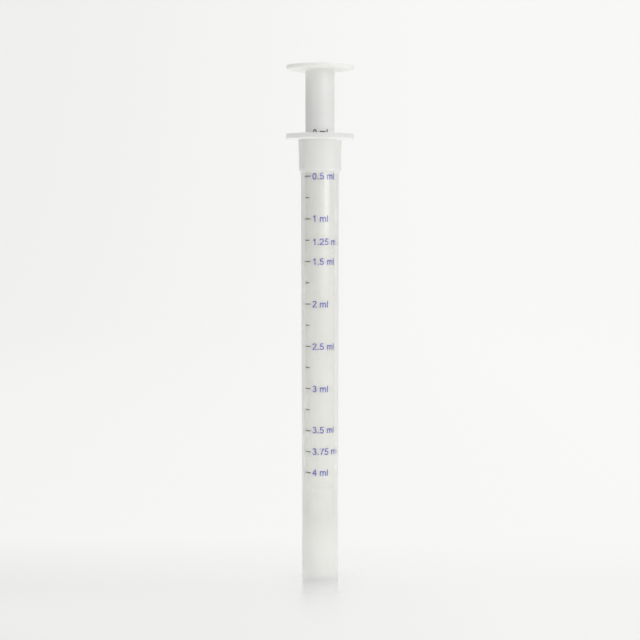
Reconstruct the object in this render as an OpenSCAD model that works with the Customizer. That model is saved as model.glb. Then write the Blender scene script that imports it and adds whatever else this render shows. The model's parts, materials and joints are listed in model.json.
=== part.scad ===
// Oral dosing pipette: a drafted tube with a finger flange, and a plunger
// that slides in its bore and carries the scale on its stem.
// The origin is the centre of the foot, where the barrel stands; +Z runs up
// the common axis. All sizes are in millimetres.

/* [Barrel] */
// Height of the barrel, from its foot to the top of the finger flange
barrel_h = 108; // [80:1:150]
// Diameter of the bore that the piston runs in
bore_d = 7.9; // [6:0.1:14]
// Wall of the tube just below the collar
wall_top = 0.65; // [0.5:0.05:1.5]
// Wall of the tube at the foot, where the draft leaves it thinnest
wall_foot = 0.4; // [0.3:0.05:1.5]
// Height of the straight stretch at the foot, which goes into a bottle's adaptor
tip_h = 18; // [8:1:40]
// Thickness of the flat end that closes the bore
end_wall = 2; // [1:0.1:4]
// Diameter of the outlet through the flat end
outlet_d = 2; // [1:0.1:4]
// Radius of the edge round the foot
foot_round = 0.25; // [0.1:0.05:0.8]
// Chamfer that leads into the bore at the flange
mouth_chamfer = 0.2; // [0.1:0.05:0.4]

/* [Collar] */
// Height of the plug collar below the flange
collar_h = 8.2; // [5.5:0.1:16]
// How far the collar stands proud of the tube under the flange
collar_proud_top = 0.6; // [0.3:0.05:2]
// How far the collar stands proud of the tube at its lower end
collar_proud_foot = 0.5; // [0.2:0.05:2]
// Height of the chamfer at the collar's lower end
collar_chamfer_h = 0.95; // [0.4:0.05:3]
// Height of the straight sealing band above that chamfer
seal_band_h = 3.6; // [1.5:0.1:6]

/* [Flange] */
// Thickness of the finger flange
flange_t = 1.25; // [0.8:0.05:3]
// How far the flange reaches out past the collar
flange_reach = 3; // [2:0.1:8]
// Radius of the flange's edges
flange_round = 0.2; // [0.1:0.05:0.35]
// Fillet between the collar and the underside of the flange
flange_fillet = 0.15; // [0.1:0.05:1]

/* [Plunger] */
// Clearance between the stem and the bore, on the radius
stem_clearance = 0.07; // [0.03:0.01:0.3]
// Clearance between the piston rings and the bore, on the radius
ring_clearance = 0.015; // [0.01:0.005:0.05]
// How much slimmer the bare neck is than the stem, on the radius
neck_step = 0.355; // [0.1:0.005:0.8]
// How far the slim neck runs down into the bore
neck_drop = 1.6; // [0.5:0.1:6]
// Bare height between the flange and the thumb disc, pushed right in
neck_h = 15.4; // [8:0.1:30]
// Diameter of the thumb disc
disc_d = 16.2; // [12:0.1:24]
// Thickness of the thumb disc
disc_t = 1; // [0.8:0.05:3]
// Radius of the thumb disc's edges
disc_round = 0.3; // [0.1:0.05:0.35]
// Fillet between the neck and the underside of the disc
disc_fillet = 0.4; // [0.1:0.05:1.5]
// Wall of the hollow neck at the thumb disc
neck_wall = 0.9; // [0.7:0.05:1.4]
// Draft of the hollow, from the disc to the piston, on the radius
hollow_draft = 0.2; // [0.05:0.05:0.5]
// Chamfer round the hollow's mouth in the disc
hollow_chamfer = 0.25; // [0.1:0.05:0.5]

/* [Piston] */
// Gap under the piston when the plunger is pushed right in
seat_gap = 0.05; // [0.02:0.01:0.3]
// Thickness of the piston's closed end
crown_t = 1.6; // [1:0.1:4]
// Chamfer round the piston's end
crown_chamfer = 0.35; // [0.1:0.05:0.6]
// Height of each sealing ring
ring_h = 1.1; // [0.6:0.1:3]
// Height of the groove between the sealing rings
groove_h = 1.2; // [0.6:0.1:4]
// Depth of the groove between the sealing rings
groove_depth = 0.3; // [0.1:0.05:0.5]

/* [Hidden] */

// Facets round the axis, and steps along each small round
around = 96;
round_steps = 5;

bore_r = bore_d / 2;
outlet_r = outlet_d / 2;

// Barrel, from the foot up
foot_r = bore_r + wall_foot;
neckline_r = bore_r + wall_top;
flange_z = barrel_h - flange_t;
collar_z = flange_z - collar_h;
seal_z = collar_z + collar_chamfer_h;
collar_foot_r = neckline_r + collar_proud_foot;
collar_top_r = neckline_r + collar_proud_top;
flange_r = collar_top_r + flange_reach;

// Plunger, from the piston up
stem_r = bore_r - stem_clearance;
ring_r = bore_r - ring_clearance;
neck_r = stem_r - neck_step;
groove_r = ring_r - groove_depth;
crown_z = end_wall + seat_gap;
lower_ring_z = crown_z + crown_chamfer;
groove_z = lower_ring_z + ring_h;
upper_ring_z = groove_z + groove_h;
rings_top_z = upper_ring_z + ring_h;
neck_z = barrel_h - neck_drop;
disc_z = barrel_h + neck_h;
disc_top_z = disc_z + disc_t;
disc_r = disc_d / 2;
hollow_top_r = neck_r - neck_wall;
hollow_foot_r = hollow_top_r - hollow_draft;
hollow_z = crown_z + crown_t;

// Points along an arc, as [radius from the axis, height]
function arc(centre, r, from, to) =
    [for (i = [0 : round_steps])
        let (a = from + (to - from) * i / round_steps)
        centre + r * [cos(a), sin(a)]];

// Rounded rim of a disc that spans low to high, from its underside up
function rim(r, low, high, edge) = concat(
    arc([r - edge, low + edge], edge, -90, 0),
    arc([r - edge, high - edge], edge, 0, 90));

// One moulding: tube, flat end, plug collar and finger flange
module barrel() {
    color([0.90, 0.91, 0.90, 0.6])
        rotate_extrude($fn = around)
            polygon(concat(
                [[outlet_r, 0]],
                arc([foot_r - foot_round, foot_round], foot_round, -90, 0),
                [[foot_r, tip_h],
                 [neckline_r, collar_z],
                 [collar_foot_r, seal_z],
                 [collar_foot_r, seal_z + seal_band_h]],
                arc([collar_top_r + flange_fillet, flange_z - flange_fillet],
                    flange_fillet, 180, 90),
                rim(flange_r, flange_z, barrel_h, flange_round),
                [[bore_r + mouth_chamfer, barrel_h],
                 [bore_r, barrel_h - mouth_chamfer],
                 [bore_r, end_wall],
                 [outlet_r, end_wall]]));
}

// One moulding: thumb disc, hollow neck and stem, and closed piston
module plunger() {
    color([0.94, 0.94, 0.92])
        rotate_extrude($fn = around)
            polygon(concat(
                [[0, crown_z],
                 [ring_r - crown_chamfer, crown_z],
                 [ring_r, lower_ring_z],
                 [ring_r, groove_z],
                 [groove_r, groove_z],
                 [groove_r, upper_ring_z],
                 [ring_r, upper_ring_z],
                 [ring_r, rings_top_z],
                 [stem_r, rings_top_z],
                 [stem_r, neck_z - neck_step],
                 [neck_r, neck_z]],
                arc([neck_r + disc_fillet, disc_z - disc_fillet],
                    disc_fillet, 180, 90),
                rim(disc_r, disc_z, disc_top_z, disc_round),
                [[hollow_top_r + hollow_chamfer, disc_top_z],
                 [hollow_top_r, disc_top_z - hollow_chamfer],
                 [hollow_foot_r, hollow_z],
                 [0, hollow_z]]));
}

barrel();
plunger();
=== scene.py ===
"""Oral dosing pipette: a milky barrel, and a white plunger whose stem carries the scale.

Everything is in metres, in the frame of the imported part: +Z runs up the common axis, the foot
stands at height 0 and the scale faces -Y. Both mouldings are turned from the sections of the
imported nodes, so they follow its sizes.
"""

import json
import math

import bpy
from bpy.props import FloatProperty, FloatVectorProperty, IntProperty, PointerProperty
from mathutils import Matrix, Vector
from mathutils.geometry import delaunay_2d_cdt


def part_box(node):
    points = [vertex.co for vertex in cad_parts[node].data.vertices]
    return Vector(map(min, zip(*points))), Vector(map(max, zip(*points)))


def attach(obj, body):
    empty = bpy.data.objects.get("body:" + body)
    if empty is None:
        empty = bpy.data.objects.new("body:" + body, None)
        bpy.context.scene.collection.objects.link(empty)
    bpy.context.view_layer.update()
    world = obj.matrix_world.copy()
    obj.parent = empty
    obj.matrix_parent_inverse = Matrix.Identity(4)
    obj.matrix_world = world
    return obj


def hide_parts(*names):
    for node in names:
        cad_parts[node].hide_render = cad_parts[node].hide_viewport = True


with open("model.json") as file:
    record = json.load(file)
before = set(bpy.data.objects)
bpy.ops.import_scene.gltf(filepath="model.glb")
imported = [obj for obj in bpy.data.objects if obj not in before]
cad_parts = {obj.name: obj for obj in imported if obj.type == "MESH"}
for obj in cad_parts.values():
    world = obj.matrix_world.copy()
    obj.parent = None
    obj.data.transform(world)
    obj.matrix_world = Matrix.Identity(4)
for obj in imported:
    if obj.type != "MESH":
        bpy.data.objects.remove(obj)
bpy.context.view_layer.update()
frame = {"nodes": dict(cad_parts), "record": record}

bl_info = {
    "name": "Dosing Pipette",
    "version": (1, 0, 0),
    "blender": (4, 5, 0),
    "location": "3D View > Sidebar > Pipette",
    "description": "Builds an oral dosing pipette and the stage that it stands on",
    "category": "Add Mesh",
}

MM = 0.001
BARREL_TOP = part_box("barrel")[1].z

# Marks of the scale in millilitres. The first half-millilitre is left without a quarter mark.
LABELS = ["0", "0.5", "1", "1.25", "1.5", "2", "2.5", "3", "3.5", "3.75", "4"]
MARKS = [0.0] + [0.5 + 0.25 * i for i in range(15)]

# Labels that sit a little above or below their lines, in millimetres
LABEL_RISE = {"0": 0.17, "1": 0.1, "1.25": -0.37, "3.5": 0.25, "3.75": 0.12, "4": 0.14}

# Lettering, in shares of the type's body height
DIGIT_TOP = 0.716
ADVANCE = {".": 0.278, " ": 0.278, "m": 0.833, "l": 0.222}
DIGIT_ADVANCE = 0.556
STROKE = 0.108
POINT_STROKE = 0.13
NARROWING = 0.93

# Points closer than this are welded into one
WELD = 0.0005 * MM

POLYETHYLENE_IOR = 1.51

# How strong the white room is where it is seen, and where the board meets it
ROOM_WHITE = 0.9


# ---------------------------------------------------------------- colours and nodes

def mount(name):
    """The record's mount of this name."""
    return next(m for m in frame["record"]["mounts"] if m["name"] == name)


def linear(hex_code):
    """Linear RGB of an sRGB colour such as #EDEDE8."""
    channels = [int(hex_code[i:i + 2], 16) / 255 for i in (1, 3, 5)]
    return [c / 12.92 if c <= 0.04045 else ((c + 0.055) / 1.055) ** 2.4 for c in channels]


def add_node(tree, kind, settings=None, inputs=None):
    """Adds a node with its settings. An input is a plain value, or a socket to link from."""
    node = tree.nodes.new(kind)
    for name, value in (settings or {}).items():
        setattr(node, name, value)
    for name, value in (inputs or {}).items():
        if isinstance(value, bpy.types.NodeSocket):
            tree.links.new(value, node.inputs[name])
        else:
            node.inputs[name].default_value = value
    return node


def new_material(name):
    """An empty material with its output node, and that node."""
    material = bpy.data.materials.new(name)
    material.use_nodes = True
    material.node_tree.nodes.clear()
    output = add_node(material.node_tree, "ShaderNodeOutputMaterial")
    return material, output


# ---------------------------------------------------------------- materials

def moulded_polyethylene(finish):
    """Natural low-density polyethylene, injection moulded.

    It is clear and satin where the wall is thin, and milky where the collar, the flange and the
    end wall are thick.
    """
    material, output = new_material("moulded_polyethylene")
    tree = material.node_tree
    place = add_node(tree, "ShaderNodeTexCoord").outputs["Object"]
    height = add_node(tree, "ShaderNodeSeparateXYZ", inputs={"Vector": place}).outputs["Z"]
    grain = add_node(tree, "ShaderNodeTexNoise", inputs={
        "Vector": place, "Scale": 1 / (0.9 * MM), "Detail": 3.0})
    bump = add_node(tree, "ShaderNodeBump", inputs={
        "Height": grain.outputs["Fac"], "Strength": 0.03, "Distance": 0.05 * MM})

    # The milk sets in over these heights: at the end wall, at the collar and at the flange.
    end_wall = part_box("plunger")[0].z
    end_clear, end_milky = end_wall + 14 * MM, end_wall + 4 * MM
    collar = mount("plug_collar")
    collar_foot = collar["pos_m"][2] - collar["dims"]["length_mm"] * MM / 2
    flange = mount("flange_seat")["pos_m"][2]
    thick_end = add_node(tree, "ShaderNodeMapRange", {"interpolation_type": "SMOOTHSTEP"}, {
        "Value": height, "From Min": end_clear, "From Max": end_milky,
        "To Min": finish.thin_milk, "To Max": finish.thick_milk})
    thick_collar = add_node(tree, "ShaderNodeMapRange", inputs={
        "Value": height, "From Min": collar_foot - 1.0 * MM, "From Max": collar_foot,
        "To Min": 0.0, "To Max": finish.collar_milk - finish.thin_milk})
    thick_flange = add_node(tree, "ShaderNodeMapRange", inputs={
        "Value": height, "From Min": flange - 0.3 * MM, "From Max": flange + 0.1 * MM,
        "To Min": 0.0, "To Max": finish.thick_milk - finish.collar_milk})
    milk = add_node(tree, "ShaderNodeMath", {"operation": "ADD"}, {
        0: thick_end.outputs["Result"], 1: thick_collar.outputs["Result"]})
    milk = add_node(tree, "ShaderNodeMath", {"operation": "ADD"}, {
        0: milk.outputs["Value"], 1: thick_flange.outputs["Result"]})
    # Where the wall is seen edge-on, light crosses more plastic and scatters more.
    facing = add_node(tree, "ShaderNodeLayerWeight", inputs={"Blend": 0.5}).outputs["Facing"]
    edge_on = add_node(tree, "ShaderNodeMapRange", {"interpolation_type": "SMOOTHSTEP"}, {
        "Value": facing, "From Min": 0.44, "From Max": 0.56,
        "To Min": 0.0, "To Max": finish.edge_milk})
    milk = add_node(tree, "ShaderNodeMath", {"operation": "MAXIMUM"}, {
        0: milk.outputs["Value"], 1: edge_on.outputs["Result"]})

    # Satin specks, too fine to be seen singly, crowd together before the milk sets in.
    low_specks = add_node(tree, "ShaderNodeMapRange", inputs={
        "Value": height, "From Min": end_clear + 7 * MM, "From Max": end_clear})
    edge_specks = add_node(tree, "ShaderNodeMapRange", inputs={
        "Value": facing, "From Min": 0.34, "From Max": 0.44})
    crowd = add_node(tree, "ShaderNodeMath", {"operation": "MAXIMUM"}, {
        0: low_specks.outputs["Result"], 1: edge_specks.outputs["Result"]})
    speck = add_node(tree, "ShaderNodeMath", {"operation": "LESS_THAN"}, {
        0: add_node(tree, "ShaderNodeTexWhiteNoise", inputs={"Vector": place}).outputs["Value"],
        1: crowd.outputs["Value"]})
    satin = add_node(tree, "ShaderNodeMapRange", inputs={
        "Value": speck.outputs["Value"], "To Min": 0.08, "To Max": 0.29})
    clear = add_node(tree, "ShaderNodeBsdfGlass", {"distribution": "GGX"}, {
        "Color": (*linear("#FCFCFB"), 1),
        "Roughness": satin.outputs["Result"],
        "IOR": POLYETHYLENE_IOR})
    skin = add_node(tree, "ShaderNodeBsdfPrincipled", inputs={
        "Base Color": (*finish.barrel_colour, 1),
        "Roughness": 0.32,
        "IOR": POLYETHYLENE_IOR,
        "Subsurface Weight": 0.8,
        "Subsurface Radius": (1.0, 1.0, 0.98),
        "Subsurface Scale": 2.5 * MM,
        "Normal": bump.outputs["Normal"]})
    glow = add_node(tree, "ShaderNodeBsdfTranslucent", inputs={
        "Color": (*finish.barrel_colour, 1)})
    milky = add_node(tree, "ShaderNodeMixShader", inputs={
        "Fac": 0.5, 1: skin.outputs["BSDF"], 2: glow.outputs["BSDF"]})
    plastic = add_node(tree, "ShaderNodeMixShader", inputs={
        "Fac": milk.outputs["Value"], 1: clear.outputs["BSDF"], 2: milky.outputs["Shader"]})
    # The barrel lets the lamps through to the stem, as the real one does, without caustics.
    veil = add_node(tree, "ShaderNodeBsdfTransparent")
    ray = add_node(tree, "ShaderNodeLightPath")
    unseen = add_node(tree, "ShaderNodeMath", {"operation": "MAXIMUM"}, {
        0: ray.outputs["Is Shadow Ray"], 1: ray.outputs["Is Diffuse Ray"]})
    surface = add_node(tree, "ShaderNodeMixShader", inputs={
        "Fac": unseen.outputs["Value"], 1: plastic.outputs["Shader"], 2: veil.outputs["BSDF"]})
    tree.links.new(surface.outputs["Shader"], output.inputs["Surface"])
    return material


def moulded_white_plastic(finish):
    """White polystyrene, injection moulded: opaque, with a soft gloss and a faint orange peel."""
    material, output = new_material("moulded_white_plastic")
    tree = material.node_tree
    place = add_node(tree, "ShaderNodeTexCoord").outputs["Object"]
    grain = add_node(tree, "ShaderNodeTexNoise", inputs={
        "Vector": place, "Scale": 1 / (1.2 * MM), "Detail": 3.0})
    rough = add_node(tree, "ShaderNodeMapRange", inputs={
        "Value": grain.outputs["Fac"], "To Min": 0.30, "To Max": 0.40})
    bump = add_node(tree, "ShaderNodeBump", inputs={
        "Height": grain.outputs["Fac"], "Strength": 0.03, "Distance": 0.05 * MM})
    plastic = add_node(tree, "ShaderNodeBsdfPrincipled", inputs={
        "Base Color": (*finish.plunger_colour, 1),
        "Roughness": rough.outputs["Result"],
        "IOR": 1.55,
        "Subsurface Weight": 0.8,
        "Subsurface Radius": (1.0, 1.0, 0.95),
        "Subsurface Scale": 2.0 * MM,
        "Normal": bump.outputs["Normal"]})
    tree.links.new(plastic.outputs["BSDF"], output.inputs["Surface"])
    return material


def printing_ink(finish):
    """Pad-printing ink, blue: a thin, even film with a silky surface."""
    material, output = new_material("printing_ink")
    tree = material.node_tree
    place = add_node(tree, "ShaderNodeTexCoord").outputs["Object"]
    grain = add_node(tree, "ShaderNodeTexNoise", inputs={
        "Vector": place, "Scale": 1 / (0.3 * MM), "Detail": 2.0})
    rough = add_node(tree, "ShaderNodeMapRange", inputs={
        "Value": grain.outputs["Fac"], "To Min": 0.40, "To Max": 0.55})
    # The lines, left of the labels, and the label of the zero, above all others, take a
    # thicker film and look nearly black.
    left_of_labels, above_others = -1.9 * MM, BARREL_TOP - 5.0 * MM
    turn = 0.1 * MM
    spot = add_node(tree, "ShaderNodeSeparateXYZ", inputs={"Vector": place})
    on_lines = add_node(tree, "ShaderNodeMapRange", inputs={
        "Value": spot.outputs["X"],
        "From Min": left_of_labels, "From Max": left_of_labels - turn})
    on_zero = add_node(tree, "ShaderNodeMapRange", inputs={
        "Value": spot.outputs["Z"], "From Min": above_others, "From Max": above_others + turn})
    thick = add_node(tree, "ShaderNodeMath", {"operation": "MAXIMUM"}, {
        0: on_lines.outputs["Result"], 1: on_zero.outputs["Result"]})
    ink = add_node(tree, "ShaderNodeMix", {"data_type": "RGBA"}, {
        0: thick.outputs["Value"],
        6: (*finish.ink_colour, 1), 7: (*finish.line_colour, 1)})
    film = add_node(tree, "ShaderNodeBsdfPrincipled", inputs={
        "Base Color": ink.outputs[2],
        "Roughness": rough.outputs["Result"],
        "IOR": 1.48})
    tree.links.new(film.outputs["BSDF"], output.inputs["Surface"])
    return material


def lacquered_board(finish):
    """White lacquered board, sprayed and smooth: pale all over, with a shallow reflection.

    What is seen of it, straight or in a reflection, is lifted towards white, and the light that
    it throws on the pipette is not. Where it is seen, it carries painted light and shade: it is
    brighter to the right, and darker in front of the pipette, most of all to the left.
    """
    material, output = new_material("lacquered_board")
    tree = material.node_tree
    place = add_node(tree, "ShaderNodeTexCoord").outputs["Object"]
    spot = add_node(tree, "ShaderNodeSeparateXYZ", inputs={"Vector": place})
    # Painted light and shade: the seen board is darker to the left and brighter to the right.
    across = add_node(tree, "ShaderNodeMapRange", inputs={
        "Value": spot.outputs["X"], "From Min": -0.30, "From Max": 0.12,
        "To Min": 0.90, "To Max": 0.98})
    # Painted shade: in front of the pipette the seen board darkens, most of all to the left.
    front_painted_shade = add_node(tree, "ShaderNodeMapRange", inputs={
        "Value": spot.outputs["X"], "From Min": -0.08, "From Max": 0.04,
        "To Min": 0.87, "To Max": 0.96})
    along = add_node(tree, "ShaderNodeMapRange", inputs={
        "Value": spot.outputs["Y"], "From Min": 0.05, "From Max": -0.01,
        "To Min": 1.0, "To Max": front_painted_shade.outputs["Result"]})
    painted_level = add_node(tree, "ShaderNodeMath", {"operation": "MULTIPLY"}, {
        0: across.outputs["Result"], 1: along.outputs["Result"]})
    # Well to either side, and behind the camera, the board fades into the white room.
    aside = add_node(tree, "ShaderNodeMath", {"operation": "ABSOLUTE"}, {0: spot.outputs["X"]})
    behind = add_node(tree, "ShaderNodeMath", {"operation": "MULTIPLY"}, {
        0: spot.outputs["Y"], 1: -3.0})
    outward = add_node(tree, "ShaderNodeMath", {"operation": "MAXIMUM"}, {
        0: aside.outputs["Value"], 1: behind.outputs["Value"]})
    faded = add_node(tree, "ShaderNodeMapRange", {"interpolation_type": "SMOOTHSTEP"}, {
        "Value": outward.outputs["Value"], "From Min": 0.5, "From Max": 1.2})
    painted_level = add_node(tree, "ShaderNodeMix", {"data_type": "FLOAT"}, {
        0: faded.outputs["Result"], 2: painted_level.outputs["Value"], 3: ROOM_WHITE})
    strongest = add_node(tree, "ShaderNodeMath", {"operation": "MULTIPLY_ADD"}, {
        0: faded.outputs["Result"], 1: 1 - finish.stage_lift, 2: finish.stage_lift})
    paint = add_node(tree, "ShaderNodeBsdfDiffuse", inputs={
        "Color": (*finish.stage_colour, 1)})
    pale = add_node(tree, "ShaderNodeEmission", inputs={
        "Color": (*linear("#FFFFFD"), 1), "Strength": painted_level.outputs[0]})
    ray = add_node(tree, "ShaderNodeLightPath")
    seen = add_node(tree, "ShaderNodeMath", {"operation": "MAXIMUM"}, {
        0: ray.outputs["Is Camera Ray"], 1: ray.outputs["Is Glossy Ray"]})
    seen = add_node(tree, "ShaderNodeMath", {"operation": "MAXIMUM"}, {
        0: seen.outputs["Value"], 1: ray.outputs["Is Transmission Ray"]})
    lift = add_node(tree, "ShaderNodeMath", {"operation": "MULTIPLY"}, {
        0: seen.outputs["Value"], 1: strongest.outputs["Value"]})
    away = add_node(tree, "ShaderNodeVectorMath", {"operation": "LENGTH"}, {0: place})
    polish = add_node(tree, "ShaderNodeMapRange", inputs={
        "Value": away.outputs["Value"], "From Min": 0.015, "From Max": 0.05,
        "To Min": 0.8, "To Max": 0.0})
    buffed = add_node(tree, "ShaderNodeMapRange", {"interpolation_type": "SMOOTHSTEP"}, {
        "Value": away.outputs["Value"], "From Min": 0.0, "From Max": 0.035,
        "To Min": 1.8, "To Max": 0.0})
    polish = add_node(tree, "ShaderNodeMath", {"operation": "ADD"}, {
        0: polish.outputs["Result"], 1: buffed.outputs["Result"]})
    # The board is polished only in a strip before the pipette, and elsewhere mirrors no lamp.
    before = add_node(tree, "ShaderNodeMapRange", {"interpolation_type": "SMOOTHSTEP"}, {
        "Value": spot.outputs["Y"], "From Min": 12 * MM, "From Max": -2 * MM})
    in_line = add_node(tree, "ShaderNodeMapRange", {"interpolation_type": "SMOOTHSTEP"}, {
        "Value": aside.outputs["Value"], "From Min": 13 * MM, "From Max": 4 * MM})
    strip = add_node(tree, "ShaderNodeMath", {"operation": "MULTIPLY"}, {
        0: before.outputs["Result"], 1: in_line.outputs["Result"]})
    polish = add_node(tree, "ShaderNodeMath", {"operation": "MULTIPLY"}, {
        0: polish.outputs["Value"], 1: strip.outputs["Value"]})
    glint = add_node(tree, "ShaderNodeMath", {"operation": "MULTIPLY"}, {
        0: add_node(tree, "ShaderNodeFresnel", inputs={"IOR": 1.5}).outputs["Fac"],
        1: polish.outputs["Value"]})
    body = add_node(tree, "ShaderNodeMixShader", inputs={
        "Fac": lift.outputs["Value"], 1: paint.outputs["BSDF"], 2: pale.outputs["Emission"]})
    # The polish ends in satin specks too, so that the reflection softens as it goes.
    crowd = add_node(tree, "ShaderNodeMapRange", inputs={
        "Value": away.outputs["Value"], "From Min": 0.007, "From Max": 0.019})
    speck = add_node(tree, "ShaderNodeMath", {"operation": "LESS_THAN"}, {
        0: add_node(tree, "ShaderNodeTexWhiteNoise", inputs={"Vector": place}).outputs["Value"],
        1: crowd.outputs["Result"]})
    satin = add_node(tree, "ShaderNodeMapRange", inputs={
        "Value": speck.outputs["Value"], "To Min": 0.10, "To Max": 0.28})
    lacquer = add_node(tree, "ShaderNodeBsdfGlossy", inputs={
        "Color": (*linear("#F6F6F6"), 1), "Roughness": satin.outputs["Result"]})
    surface = add_node(tree, "ShaderNodeMixShader", inputs={
        "Fac": glint.outputs["Value"],
        1: body.outputs["Shader"], 2: lacquer.outputs["BSDF"]})
    tree.links.new(surface.outputs["Shader"], output.inputs["Surface"])
    return material


# ---------------------------------------------------------------- turned mouldings

def section(node):
    """Outline of a turned node's half section, as [radius, height] points in order.

    The node's vertices lie on rings round the axis, and each ring joins the next along the
    outline. An outline that ends at a ring with one neighbour runs on to the axis.
    """
    mesh = frame["nodes"][node].data
    one_ring = 0.003 * MM
    rings, ring_of = [], []
    for vertex in mesh.vertices:
        point = (math.hypot(vertex.co.x, vertex.co.y), vertex.co.z)
        near = [i for i, ring in enumerate(rings) if math.dist(ring, point) < one_ring]
        if not near:
            rings.append(point)
        ring_of.append(near[0] if near else len(rings) - 1)
    joined = [set() for _ in rings]
    for edge in mesh.edges:
        a, b = (ring_of[i] for i in edge.vertices)
        if a != b:
            joined[a].add(b)
            joined[b].add(a)
    if max(len(others) for others in joined) > 2:
        raise ValueError(f"node {node} is not a simple turned shape")
    ends = [i for i, others in enumerate(joined) if len(others) == 1]
    path = [min(ends or range(len(rings)), key=lambda i: (rings[i][1], rings[i][0]))]
    while ahead := [i for i in joined[path[-1]] if i not in path]:
        path.append(max(ahead, key=lambda i: rings[i][0]))
    outline = [list(rings[i]) for i in path]
    if ends:
        return [[0, outline[0][1]], *outline, [0, outline[-1][1]]]
    return [*outline, outline[0]]


def without_flats(outline):
    """The outline without points that lie on a straight stretch."""
    least_bend = math.radians(0.1)
    kept = [outline[0]]
    for point, after in zip(outline[1:-1], outline[2:]):
        a, b = Vector(point) - Vector(kept[-1]), Vector(after) - Vector(point)
        if a.angle(b) > least_bend:
            kept.append(point)
    return [*kept, outline[-1]]


def with_holds(outline, hold):
    """The outline with a point close to each end of every long stretch.

    Smooth shading turns the normals at a bend, and these points keep that turn next to it.
    """
    held = [outline[0]]
    for start, end in zip(outline, outline[1:]):
        a, b = Vector(start), Vector(end)
        length = (b - a).length
        if length > 4 * hold:
            held += [list(a.lerp(b, hold / length)), list(b.lerp(a, hold / length))]
        held.append(end)
    return held


def outer_radius(outline, height):
    """The largest radius that the outline has at this height."""
    found = [
        a[0] + (b[0] - a[0]) * (height - a[1]) / (b[1] - a[1])
        for a, b in zip(outline, outline[1:])
        if min(a[1], b[1]) <= height <= max(a[1], b[1]) and a[1] != b[1]]
    return max(found)


def add_inputs(tree, named):
    """Gives a geometry tree its inputs, as {name: (socket kind, default)}, and its output."""
    tree.interface.new_socket("Geometry", in_out="INPUT", socket_type="NodeSocketGeometry")
    for name, (kind, default) in named.items():
        socket = tree.interface.new_socket(name, in_out="INPUT", socket_type=kind)
        if default is not None:
            socket.default_value = default
    tree.interface.new_socket("Geometry", in_out="OUTPUT", socket_type="NodeSocketGeometry")
    return add_node(tree, "NodeGroupInput")


def finish_tree(tree, geometry, material):
    """Ends a geometry tree: real meshes, with their material."""
    real = add_node(tree, "GeometryNodeRealizeInstances", inputs={"Geometry": geometry})
    coated = add_node(tree, "GeometryNodeSetMaterial", inputs={
        "Geometry": real.outputs["Geometry"], "Material": material})
    add_node(tree, "NodeGroupOutput", inputs={"Geometry": coated.outputs["Geometry"]})
    return tree


def turning_tree():
    """Geometry nodes that turn an outline round the axis and close its seam and poles."""
    tree = bpy.data.node_groups.new("turn_round_axis", "GeometryNodeTree")
    given = add_inputs(tree, {
        "Points": ("NodeSocketInt", 8),
        "Steps": ("NodeSocketInt", 96),
        "Sharp Above": ("NodeSocketFloat", math.radians(22)),
        "Material": ("NodeSocketMaterial", None)})
    around = add_node(tree, "ShaderNodeMath", {"operation": "ADD"}, {
        0: given.outputs["Steps"], 1: 1.0})
    sheet = add_node(tree, "GeometryNodeMeshGrid", inputs={
        "Size X": 1.0, "Size Y": 1.0,
        "Vertices X": given.outputs["Points"], "Vertices Y": around.outputs["Value"]})
    place = add_node(tree, "ShaderNodeSeparateXYZ", inputs={
        "Vector": add_node(tree, "GeometryNodeInputPosition").outputs["Position"]})
    last = add_node(tree, "ShaderNodeMath", {"operation": "SUBTRACT"}, {
        0: given.outputs["Points"], 1: 1.0})
    along = add_node(tree, "ShaderNodeMath", {"operation": "ADD"}, {
        0: place.outputs["X"], 1: 0.5})
    index = add_node(tree, "ShaderNodeMath", {"operation": "MULTIPLY"}, {
        0: along.outputs["Value"], 1: last.outputs["Value"]})
    nearest = add_node(tree, "ShaderNodeMath", {"operation": "ROUND"}, {
        0: index.outputs["Value"]})
    point = add_node(tree, "GeometryNodeSampleIndex", {"data_type": "FLOAT_VECTOR"}, {
        "Geometry": given.outputs["Geometry"],
        "Value": add_node(tree, "GeometryNodeInputPosition").outputs["Position"],
        "Index": nearest.outputs["Value"]})
    angle = add_node(tree, "ShaderNodeMath", {"operation": "MULTIPLY"}, {
        0: place.outputs["Y"], 1: -math.tau})
    turned = add_node(tree, "ShaderNodeVectorRotate", {"rotation_type": "Z_AXIS"}, {
        "Vector": point.outputs["Value"], "Angle": angle.outputs["Value"]})
    shaped = add_node(tree, "GeometryNodeSetPosition", inputs={
        "Geometry": sheet.outputs["Mesh"], "Position": turned.outputs["Vector"]})
    closed = add_node(tree, "GeometryNodeMergeByDistance", inputs={
        "Geometry": shaped.outputs["Geometry"], "Distance": WELD})
    smooth = add_node(tree, "GeometryNodeSetShadeSmooth", inputs={
        "Geometry": closed.outputs["Geometry"]})
    bend = add_node(tree, "GeometryNodeInputMeshEdgeAngle")
    sharp = add_node(tree, "FunctionNodeCompare", {"data_type": "FLOAT"}, {
        "A": bend.outputs["Unsigned Angle"], "B": given.outputs["Sharp Above"]})
    edged = add_node(tree, "GeometryNodeSetShadeSmooth", {"domain": "EDGE"}, {
        "Geometry": smooth.outputs["Geometry"],
        "Selection": sharp.outputs["Result"],
        "Shade Smooth": False})
    return finish_tree(tree, edged.outputs["Geometry"], given.outputs["Material"])


def evaluated_piece(name, mesh, tree, values):
    """A plain mesh object: the mesh as the geometry tree makes it, with these input values."""
    source = bpy.data.objects.new(name + "_source", mesh)
    bpy.context.scene.collection.objects.link(source)
    modifier = source.modifiers.new("shape", "NODES")
    modifier.node_group = tree
    sockets = {s.name: s.identifier for s in tree.interface.items_tree if s.in_out == "INPUT"}
    for label, value in values.items():
        modifier[sockets[label]] = value
    shown = source.evaluated_get(bpy.context.evaluated_depsgraph_get())
    made = bpy.data.meshes.new_from_object(shown)
    bpy.data.objects.remove(source)
    made.name = name
    piece = bpy.data.objects.new(name, made)
    bpy.context.scene.collection.objects.link(piece)
    return piece


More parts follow.
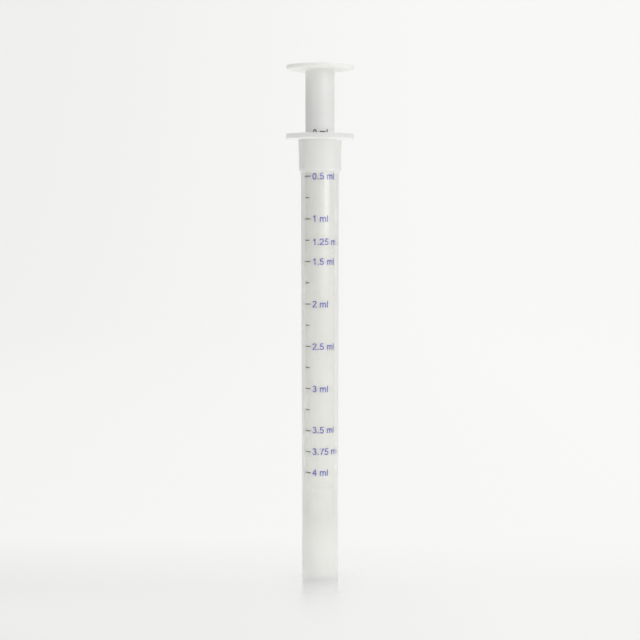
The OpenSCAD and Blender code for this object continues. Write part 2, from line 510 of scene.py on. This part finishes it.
def turned_piece(name, node, steps, material):
    """A fine mesh of a turned node: its own section, with many steps round the axis."""
    outline = with_holds(without_flats(section(node)), hold=0.04 * MM)
    mesh = bpy.data.meshes.new(name + "_outline")
    mesh.from_pydata([(r, 0, z) for r, z in outline], [], [])
    return evaluated_piece(name, mesh, turning_tree(), {
        "Points": len(outline), "Steps": steps, "Material": material})


# ---------------------------------------------------------------- lettering

def arc(centre, radii, start, end, steps=14):
    """Points along part of an ellipse, with its angles in degrees."""
    angles = [math.radians(start + (end - start) * i / steps) for i in range(steps + 1)]
    return [(centre[0] + radii[0] * math.cos(a), centre[1] + radii[1] * math.sin(a))
            for a in angles]


# The middle lines of each letter's strokes, in shares of the body height from its lower left
GLYPHS = {
    "0": [arc((0.278, 0.352), (0.188, 0.322), 90, 450, 40)],
    "1": [[(0.335, 0), (0.335, DIGIT_TOP)], [(0.335, 0.665), (0.245, 0.575), (0.115, 0.52)]],
    "2": [[*arc((0.272, 0.520), (0.188, 0.154), 178, -22, 20),
           (0.300, 0.285), (0.130, 0.120), (0.075, 0.03)],
          [(0.03, 0.042), (0.505, 0.042)]],
    "3": [arc((0.262, 0.528), (0.160, 0.146), 165, -100, 20),
          arc((0.268, 0.208), (0.190, 0.166), 100, -168, 22)],
    "4": [[(0.385, 0), (0.385, DIGIT_TOP)], [(0.03, 0.208), (0.515, 0.208)],
          [(0.385, 0.690), (0.055, 0.210)]],
    "5": [[(0.135, 0.672), (0.470, 0.672)], [(0.170, DIGIT_TOP), (0.120, 0.345)],
          arc((0.268, 0.232), (0.192, 0.190), 140, -160, 22)],
    "7": [[(0.045, 0.672), (0.510, 0.672)],
          [(0.485, 0.672), (0.345, 0.470), (0.255, 0.240), (0.215, 0)]],
    ".": [[(0.139, 0), (0.139, 0.125)]],
    "m": [[(0.110, 0), (0.110, 0.519)],
          [*arc((0.263, 0.325), (0.153, 0.153), 180, 0), (0.416, 0)],
          [*arc((0.569, 0.325), (0.153, 0.153), 180, 0), (0.722, 0)]],
    "l": [[(0.110, 0), (0.110, DIGIT_TOP)]],
}


def stroke_quads(points, width):
    """Corners of the four-sided pieces that give a line of points this width."""
    closed = math.isclose(math.dist(points[0], points[-1]), 0, abs_tol=1e-6)
    line = [Vector(p) for p in points]
    if closed:
        line = line[:-1]
    count = len(line)
    sides = []
    for i, here in enumerate(line):
        before = line[i - 1] if closed or i else None
        after = line[(i + 1) % count] if closed or i < count - 1 else None
        ahead = (after - here).normalized() if after else (here - before).normalized()
        behind = (here - before).normalized() if before else ahead
        way = (ahead + behind).normalized()
        # The pieces are mitred where they meet, to at most twice the line's width.
        across = Vector((-way.y, way.x)) * (width / 2 / max(0.5, way.dot(ahead)))
        sides.append((here + across, here - across))
    pairs = zip(sides, sides[1:] + sides[:1] if closed else sides[1:])
    return [(a[1], b[1], b[0], a[0]) for a, b in pairs]


def flat_label(text, body, left, middle):
    """Corners of a label's pieces on a flat plan, from its left end, centred on this height."""
    quads, x, narrowed = [], left, body * NARROWING
    for letter in text:
        width = POINT_STROKE if letter == "." else STROKE
        for points in GLYPHS.get(letter, []):
            quads += [[(x + narrowed * p.x, middle + body * (p.y - DIGIT_TOP / 2)) for p in quad]
                      for quad in stroke_quads(points, width)]
        x += narrowed * ADVANCE.get(letter, DIGIT_ADVANCE)
    return quads


def united(quads):
    """One flat mesh, in the XZ plane, of what overlapping pieces cover together."""
    corners = [Vector(p) for quad in quads for p in quad]
    faces = [list(range(i, i + 4)) for i in range(0, len(corners), 4)]
    all_triangles, same_point = 1, 1e-8
    points, _, triangles, _, _, covered_by = delaunay_2d_cdt(
        corners, [], faces, all_triangles, same_point)
    inked = [triangle for triangle, pieces in zip(triangles, covered_by) if pieces]
    mesh = bpy.data.meshes.new("flat_lettering")
    mesh.from_pydata([(p.x, 0, p.y) for p in points], [], inked)
    return mesh


def wrap_group():
    """Geometry nodes that lay flat print round the stem and give its ink a thickness."""
    tree = bpy.data.node_groups.new("wrap_round_stem", "GeometryNodeTree")
    given = add_inputs(tree, {
        "Radius": ("NodeSocketFloat", 3.88 * MM),
        "Ink Thickness": ("NodeSocketFloat", 0.012 * MM),
        "Material": ("NodeSocketMaterial", None)})
    film = add_node(tree, "GeometryNodeExtrudeMesh", inputs={
        "Mesh": given.outputs["Geometry"],
        "Offset": (0, -1, 0),
        "Offset Scale": given.outputs["Ink Thickness"],
        "Individual": False})
    back = add_node(tree, "GeometryNodeFlipFaces", inputs={"Mesh": given.outputs["Geometry"]})
    solid = add_node(tree, "GeometryNodeJoinGeometry")
    tree.links.new(back.outputs["Mesh"], solid.inputs["Geometry"])
    tree.links.new(film.outputs["Mesh"], solid.inputs["Geometry"])
    closed = add_node(tree, "GeometryNodeMergeByDistance", inputs={
        "Geometry": solid.outputs["Geometry"], "Distance": WELD})
    place = add_node(tree, "ShaderNodeSeparateXYZ", inputs={
        "Vector": add_node(tree, "GeometryNodeInputPosition").outputs["Position"]})
    angle = add_node(tree, "ShaderNodeMath", {"operation": "DIVIDE"}, {
        0: place.outputs["X"], 1: given.outputs["Radius"]})
    depth = add_node(tree, "ShaderNodeMath", {"operation": "SUBTRACT"}, {
        0: place.outputs["Y"], 1: given.outputs["Radius"]})
    front = add_node(tree, "ShaderNodeCombineXYZ", inputs={
        "Y": depth.outputs["Value"], "Z": place.outputs["Z"]})
    laid = add_node(tree, "ShaderNodeVectorRotate", {"rotation_type": "Z_AXIS"}, {
        "Vector": front.outputs["Vector"], "Angle": angle.outputs["Value"]})
    shaped = add_node(tree, "GeometryNodeSetPosition", inputs={
        "Geometry": closed.outputs["Geometry"], "Position": laid.outputs["Vector"]})
    return finish_tree(tree, shaped.outputs["Geometry"], given.outputs["Material"])


def line_tree():
    """Geometry nodes that draw one flat line from each mark and lay them all round the stem."""
    tree = bpy.data.node_groups.new("scale_lines", "GeometryNodeTree")
    given = add_inputs(tree, {
        "Weight": ("NodeSocketFloat", 0.22 * MM),
        "Radius": ("NodeSocketFloat", 3.88 * MM),
        "Ink Thickness": ("NodeSocketFloat", 0.012 * MM),
        "Material": ("NodeSocketMaterial", None)})
    unit = add_node(tree, "GeometryNodeMeshGrid", inputs={
        "Size X": 1.0, "Size Y": 1.0, "Vertices X": 25, "Vertices Y": 2})
    upright = add_node(tree, "GeometryNodeTransform", inputs={
        "Geometry": unit.outputs["Mesh"],
        "Translation": (0.5, 0, 0),
        "Rotation": (math.radians(90), 0, 0)})
    length = add_node(tree, "GeometryNodeInputNamedAttribute", {"data_type": "FLOAT"}, {
        "Name": "length"})
    extent = add_node(tree, "ShaderNodeCombineXYZ", inputs={
        "X": length.outputs["Attribute"], "Y": 1.0, "Z": given.outputs["Weight"]})
    drawn = add_node(tree, "GeometryNodeInstanceOnPoints", inputs={
        "Points": given.outputs["Geometry"],
        "Instance": upright.outputs["Geometry"],
        "Scale": extent.outputs["Vector"]})
    real = add_node(tree, "GeometryNodeRealizeInstances", inputs={
        "Geometry": drawn.outputs["Instances"]})
    wrapped = add_node(tree, "GeometryNodeGroup", {"node_tree": wrap_group()}, {
        "Geometry": real.outputs["Geometry"],
        "Radius": given.outputs["Radius"],
        "Ink Thickness": given.outputs["Ink Thickness"],
        "Material": given.outputs["Material"]})
    return finish_tree(tree, wrapped.outputs["Geometry"], given.outputs["Material"])


# ---------------------------------------------------------------- stage

def sweep_mesh(half_width, front, back, bend, height, steps=24):
    """Floor that curves up into a backdrop."""
    profile = [(front, 0)] + [
        (back + bend * math.sin(a), bend - bend * math.cos(a))
        for a in (math.radians(90 * i / steps) for i in range(steps + 1))] + [
        (back + bend, height)]
    mesh = bpy.data.meshes.new("sweep")
    rows = [[(x, y, z) for y, z in profile] for x in (-half_width, half_width)]
    count = len(profile)
    faces = [(i, i + count, i + count + 1, i + 1) for i in range(count - 1)]
    mesh.from_pydata(rows[0] + rows[1], [], faces)
    mesh.shade_smooth()
    return mesh


def white_room(ambient, lean):
    """A white room all round: dim as a light, and near white where it is seen through plastic.

    Its light leans to the right, by this much either way, and a gloss mirrors a share of it.
    """
    mirrored_share = 0.4
    world = bpy.data.worlds.new("white_room")
    world.use_nodes = True
    tree = world.node_tree
    ray = add_node(tree, "ShaderNodeLightPath")
    mirrored = add_node(tree, "ShaderNodeMath", {"operation": "MULTIPLY"}, {
        0: ray.outputs["Is Glossy Ray"], 1: mirrored_share})
    seen = add_node(tree, "ShaderNodeMath", {"operation": "MAXIMUM"}, {
        0: ray.outputs["Is Camera Ray"], 1: ray.outputs["Is Transmission Ray"]})
    seen = add_node(tree, "ShaderNodeMath", {"operation": "MAXIMUM"}, {
        0: seen.outputs["Value"], 1: mirrored.outputs["Value"]})
    toward = add_node(tree, "ShaderNodeTexCoord").outputs["Generated"]
    across = add_node(tree, "ShaderNodeSeparateXYZ", inputs={"Vector": toward}).outputs["X"]
    walls = add_node(tree, "ShaderNodeMapRange", inputs={
        "Value": across, "From Min": -1.0, "From Max": 1.0,
        "To Min": ambient - lean, "To Max": ambient + lean})
    strength = add_node(tree, "ShaderNodeMapRange", inputs={
        "Value": seen.outputs["Value"], "To Min": walls.outputs["Result"],
        "To Max": ROOM_WHITE})
    room = tree.nodes["Background"]
    room.inputs["Color"].default_value = (*linear("#FFFFFF"), 1)
    tree.links.new(strength.outputs["Result"], room.inputs["Strength"])
    return world


def softbox(name, place, target, size, watts):
    """An area lamp at this place that faces the target."""
    data = bpy.data.lights.new(name, "AREA")
    data.shape = "RECTANGLE"
    data.size, data.size_y = size
    data.energy = watts
    lamp = bpy.data.objects.new(name, data)
    lamp.location = place
    lamp.rotation_euler = (Vector(target) - Vector(place)).to_track_quat("-Z", "Y").to_euler()
    bpy.context.scene.collection.objects.link(lamp)
    return lamp


def beside(azimuth, distance, height):
    """A place round the pipette. Azimuth 0 is the camera's side and 90 degrees is to its right."""
    a = math.radians(azimuth)
    return (distance * math.sin(a), -distance * math.cos(a), height)


# ---------------------------------------------------------------- properties

class PipetteFinish(bpy.types.PropertyGroup):
    """Colours of the pipette and its stage."""

    barrel_colour: FloatVectorProperty(
        name="Barrel", description="Milky polyethylene of the barrel",
        subtype="COLOR", min=0, max=1, default=linear("#F8F8F6"))
    plunger_colour: FloatVectorProperty(
        name="Plunger", description="White plastic of the plunger",
        subtype="COLOR", min=0, max=1, default=linear("#F1F1EC"))
    thin_milk: FloatProperty(
        name="Thin Milk", description="How milky the tube's thin wall is",
        min=0, max=1, default=0.05)
    edge_milk: FloatProperty(
        name="Edge Milk", description="How milky the tube's wall looks where it is seen edge-on",
        min=0, max=1, default=0.97)
    collar_milk: FloatProperty(
        name="Collar Milk", description="How milky the collar is", min=0, max=1, default=0.85)
    thick_milk: FloatProperty(
        name="Thick Milk", description="How milky the flange and the end wall are",
        min=0, max=1, default=0.95)
    stage_lift: FloatProperty(
        name="Stage Lift", description="How far the board is lifted towards white where seen",
        min=0, max=1, default=0.88)
    ink_colour: FloatVectorProperty(
        name="Ink", description="Ink of the printed scale",
        subtype="COLOR", min=0, max=1, default=linear("#0816BC"))
    line_colour: FloatVectorProperty(
        name="Thick Ink", description="The same ink in the lines and the zero, where it is thick",
        subtype="COLOR", min=0, max=1, default=linear("#22222B"))
    stage_colour: FloatVectorProperty(
        name="Stage", description="Lacquered board that the pipette stands on",
        subtype="COLOR", min=0, max=1, default=linear("#F4F4F2"))


class PipetteSizes(bpy.types.PropertyGroup):
    """Sizes of the scale, and how finely the mouldings are turned."""

    steps: IntProperty(
        name="Steps Round", description="Faces round each moulding", default=160, min=24, max=512)
    zero_height: FloatProperty(
        name="Zero Line", description="Height of the 0 ml line with the plunger pushed in",
        unit="LENGTH", default=BARREL_TOP)
    pitch: FloatProperty(
        name="Height of 1 ml", description="Spacing of the scale for one millilitre",
        unit="LENGTH", default=20.4 * MM)
    digit_height: FloatProperty(
        name="Digit Height", description="Height of the printed digits",
        unit="LENGTH", default=1.56 * MM)
    label_left: FloatProperty(
        name="Label Start", description="Where labels start, measured round the stem",
        unit="LENGTH", default=-1.84 * MM)
    line_weight: FloatProperty(
        name="Line Weight", description="Thickness of the scale's lines",
        unit="LENGTH", default=0.22 * MM)
    line_left: FloatProperty(
        name="Line Start", description="Where full lines start, measured round the stem",
        unit="LENGTH", default=-4.55 * MM)
    line_length: FloatProperty(
        name="Line Length", description="Length of a full line, measured round the stem",
        unit="LENGTH", default=2.25 * MM)
    quarter_left: FloatProperty(
        name="Quarter Start", description="Where quarter lines start, measured round the stem",
        unit="LENGTH", default=-4.1 * MM)
    quarter_length: FloatProperty(
        name="Quarter Length", description="Length of a quarter line, measured round the stem",
        unit="LENGTH", default=1.5 * MM)
    ink_thickness: FloatProperty(
        name="Ink Thickness", description="How far the ink stands proud of the stem",
        unit="LENGTH", precision=6, default=0.012 * MM)


class PipetteStage(bpy.types.PropertyGroup):
    """Where the camera stands and how the stage is lit."""

    distance: FloatProperty(
        name="Camera Distance", description="Distance from the axis to the camera",
        unit="LENGTH", default=0.387)
    eye_height: FloatProperty(
        name="Camera Height", description="Height of the camera above the floor",
        unit="LENGTH", default=0.0853)
    tilt: FloatProperty(
        name="Camera Tilt", description="How far the camera looks down",
        unit="ROTATION", default=math.radians(3.27))
    lens: FloatProperty(
        name="Focal Length", description="Focal length of the lens",
        unit="CAMERA", default=90.0)
    key_power: FloatProperty(
        name="Key Light", description="Power of the large softbox on the right",
        unit="POWER", default=1.1)
    side_power: FloatProperty(
        name="Side Light", description="Power of the wide softbox behind the key light",
        unit="POWER", default=2.4)
    low_power: FloatProperty(
        name="Low Fill", description="Power of the small light by the foot, on the left",
        unit="POWER", precision=4, default=0.009)
    top_power: FloatProperty(
        name="Top Light", description="Power of the softbox overhead",
        unit="POWER", default=9.0)
    bounce_power: FloatProperty(
        name="Bounce Card", description="Power of the card that throws light up from the table",
        unit="POWER", precision=3, default=0.19)
    lean: FloatProperty(
        name="Lean", min=0, max=1, default=0.16,
        description="How much brighter the room is on the right, and darker on the left")
    ambient: FloatProperty(
        name="Room Light", description="Strength of the light from all round", default=0.425)


# ---------------------------------------------------------------- operators

class PIPETTE_OT_stage(bpy.types.Operator):
    """Adds the camera, the lamps and the board that sweeps up behind the pipette"""

    bl_idname = "pipette.stage"
    bl_label = "Stage"

    def execute(self, context):
        scene, stage = context.scene, context.scene.pipette_stage
        camera = bpy.data.objects.new("camera", bpy.data.cameras.new("camera"))
        camera.data.lens = stage.lens
        camera.data.sensor_width = 36.0
        camera.data.clip_start = 0.01
        camera.location = (0, -stage.distance, stage.eye_height)
        camera.rotation_euler = (math.radians(90) - stage.tilt, 0, 0)
        scene.collection.objects.link(camera)
        scene.camera = camera

        board = bpy.data.objects.new("stage_board", sweep_mesh(
            half_width=2.5, front=-1.5, back=0.9, bend=0.6, height=2.4))
        board.data.materials.append(lacquered_board(scene.pipette_finish))
        scene.collection.objects.link(board)

        key_height = 0.38
        key = softbox("key_softbox", beside(44, 0.7, key_height), (0, 0, key_height),
                      (0.42, 0.60), stage.key_power)
        # The board takes no light from the key, or it would mirror it towards the back.
        unlit = bpy.data.collections.new("not_lit_by_the_key")
        unlit.objects.link(board)
        unlit.collection_objects[0].light_linking.link_state = "EXCLUDE"
        key.light_linking.receiver_collection = unlit

        # These two lamps fill the shade, and are seen neither straight nor in a reflection.
        low_height = 0.032
        low_fill = softbox("low_fill", beside(-60, 0.09, low_height), (0, 0, low_height / 3),
                           (0.05, 0.03), stage.low_power)
        bounce_card = softbox("bounce_card", (0, 0, 0.4 * MM), (0, 0, 1), (0.5, 0.5),
                              stage.bounce_power)
        for fill in (low_fill, bounce_card):
            fill.visible_camera = False
            fill.visible_glossy = False
            fill.visible_transmission = False
        softbox("side_softbox", beside(28, 1.2, 0.5), (0, 0, 0.1), (1.2, 1.1), stage.side_power)
        softbox("top_softbox", (0, 0.3, 1.5), (0, 0.3, 0), (1.6, 1.6), stage.top_power)

        scene.world = white_room(stage.ambient, stage.lean)
        scene.view_settings.view_transform = "Standard"
        return {"FINISHED"}


class PIPETTE_OT_barrel(bpy.types.Operator):
    """Adds the barrel: tube, plug collar and finger flange in one moulding"""

    bl_idname = "pipette.barrel"
    bl_label = "Barrel"

    def execute(self, context):
        scene = context.scene
        barrel = turned_piece("barrel_moulding", "barrel", scene.pipette_sizes.steps,
                              moulded_polyethylene(scene.pipette_finish))
        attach(barrel, "barrel")
        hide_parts("barrel")
        return {"FINISHED"}


class PIPETTE_OT_plunger(bpy.types.Operator):
    """Adds the plunger: thumb disc, neck, stem and piston in one moulding"""

    bl_idname = "pipette.plunger"
    bl_label = "Plunger"

    def execute(self, context):
        scene = context.scene
        plunger = turned_piece("plunger_moulding", "plunger", scene.pipette_sizes.steps,
                               moulded_white_plastic(scene.pipette_finish))
        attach(plunger, "plunger")
        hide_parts("plunger")
        return {"FINISHED"}


class PIPETTE_OT_scale(bpy.types.Operator):
    """Adds the printed scale: its lines, and the labels beside them"""

    bl_idname = "pipette.scale"
    bl_label = "Scale"

    def execute(self, context):
        scene, sizes = context.scene, context.scene.pipette_sizes
        stem_middle = BARREL_TOP / 2
        clear_of_stem = 0.003 * MM
        print_values = {
            "Radius": outer_radius(section("plunger"), stem_middle) + clear_of_stem,
            "Ink Thickness": sizes.ink_thickness,
            "Material": printing_ink(scene.pipette_finish)}
        heights = {ml: sizes.zero_height - ml * sizes.pitch for ml in MARKS}

        # The labelled quarters reach as far as a full line, 1.25 to the left and 3.75 to the right.
        line_end = sizes.line_left + sizes.line_length
        quarter_end = sizes.quarter_left + sizes.quarter_length
        labelled = {1.25: (sizes.line_left, quarter_end), 3.75: (sizes.quarter_left, line_end)}
        full, quarter = (sizes.line_left, line_end), (sizes.quarter_left, quarter_end)
        spans = [labelled.get(ml, quarter if ml % 0.5 else full) for ml in MARKS]
        marks = bpy.data.meshes.new("marks")
        marks.from_pydata([(left, 0, heights[ml]) for (left, _), ml in zip(spans, MARKS)], [], [])
        marks.attributes.new("length", "FLOAT", "POINT").data.foreach_set(
            "value", [right - left for left, right in spans])
        lines = evaluated_piece("scale_lines", marks, line_tree(),
                                {"Weight": sizes.line_weight, **print_values})

        body = sizes.digit_height / DIGIT_TOP
        quads = []
        for label in LABELS:
            middle = heights[float(label)] + LABEL_RISE.get(label, 0) * MM
            quads += flat_label(label + " ml", body, sizes.label_left, middle)
        labels = evaluated_piece("scale_labels", united(quads), wrap_group(), print_values)

        for piece in (lines, labels):
            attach(piece, "plunger")
        return {"FINISHED"}


class PIPETTE_PT_panel(bpy.types.Panel):
    """Builds the pipette, piece by piece"""

    bl_idname = "PIPETTE_PT_panel"
    bl_label = "Dosing Pipette"
    bl_space_type = "VIEW_3D"
    bl_region_type = "UI"
    bl_category = "Pipette"

    def draw(self, context):
        for operator in OPERATORS:
            self.layout.operator(operator.bl_idname)
        for group in (context.scene.pipette_sizes, context.scene.pipette_finish,
                      context.scene.pipette_stage):
            box = self.layout.box()
            for name in group.bl_rna.properties.keys():
                if name not in ("rna_type", "name"):
                    box.prop(group, name)


OPERATORS = (PIPETTE_OT_stage, PIPETTE_OT_barrel, PIPETTE_OT_plunger, PIPETTE_OT_scale)
GROUPS = {"pipette_finish": PipetteFinish, "pipette_sizes": PipetteSizes,
          "pipette_stage": PipetteStage}


def register():
    for group in (*GROUPS.values(), *OPERATORS, PIPETTE_PT_panel):
        bpy.utils.register_class(group)
    for name, group in GROUPS.items():
        setattr(bpy.types.Scene, name, PointerProperty(type=group))


def unregister():
    for name in GROUPS:
        delattr(bpy.types.Scene, name)
    for group in (PIPETTE_PT_panel, *OPERATORS, *GROUPS.values()):
        bpy.utils.unregister_class(group)


def main():
    register()
    bpy.ops.pipette.stage()
    bpy.ops.pipette.barrel()
    bpy.ops.pipette.plunger()
    bpy.ops.pipette.scale()


if __name__ == "__main__":
    main()
